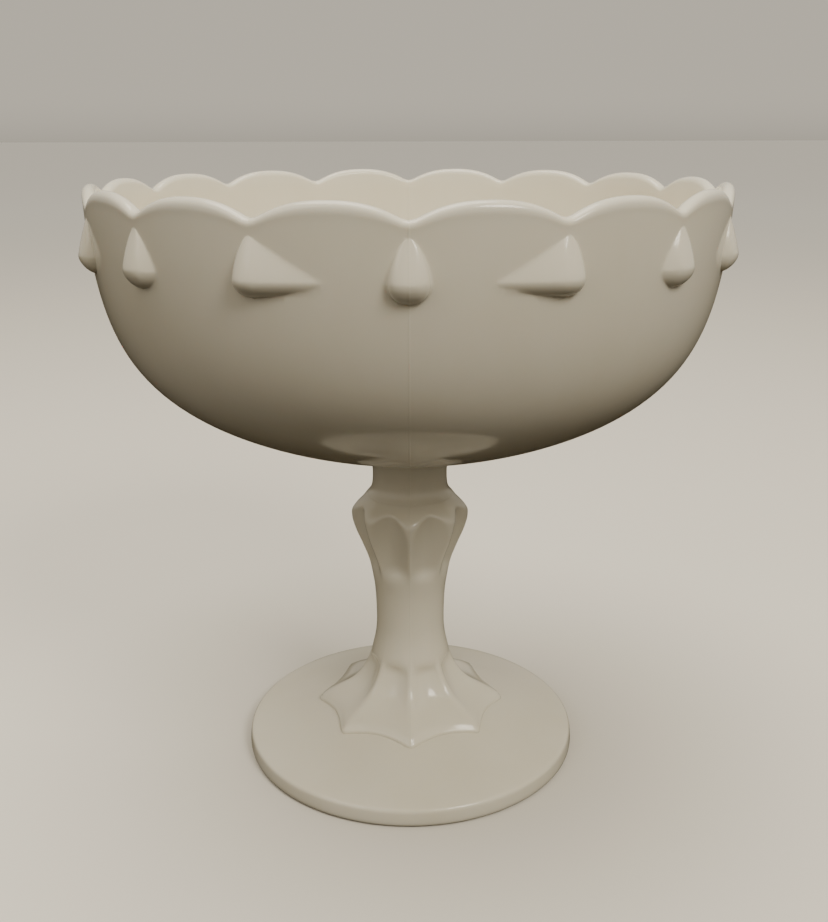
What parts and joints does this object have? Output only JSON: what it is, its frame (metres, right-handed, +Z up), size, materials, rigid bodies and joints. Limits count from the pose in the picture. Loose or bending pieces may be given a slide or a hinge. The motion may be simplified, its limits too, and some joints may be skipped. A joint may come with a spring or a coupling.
{
  "type": "pedestal bowl",
  "caption": "Round footed serving bowl in opaque white pressed glass, with a scalloped rim, moulded teardrop knobs, a fluted stem and a disc foot.",
  "frame": {"origin": "centre of the foot's rest ring, on the ground", "axes": "+Z up along the stem; the mould seam lies in the plane X = 0, so -Y is the front and +Y the back"},
  "size_m": [0.2368, 0.2368, 0.2289],
  "materials": {
    "milk_glass": "fire-polished opaque white glass, glossy"
  },
  "bodies": {
    "root": {"bowl": "milk_glass", "neck": "milk_glass", "stem": "milk_glass", "foot": "milk_glass"}
  },
  "joints": []
}
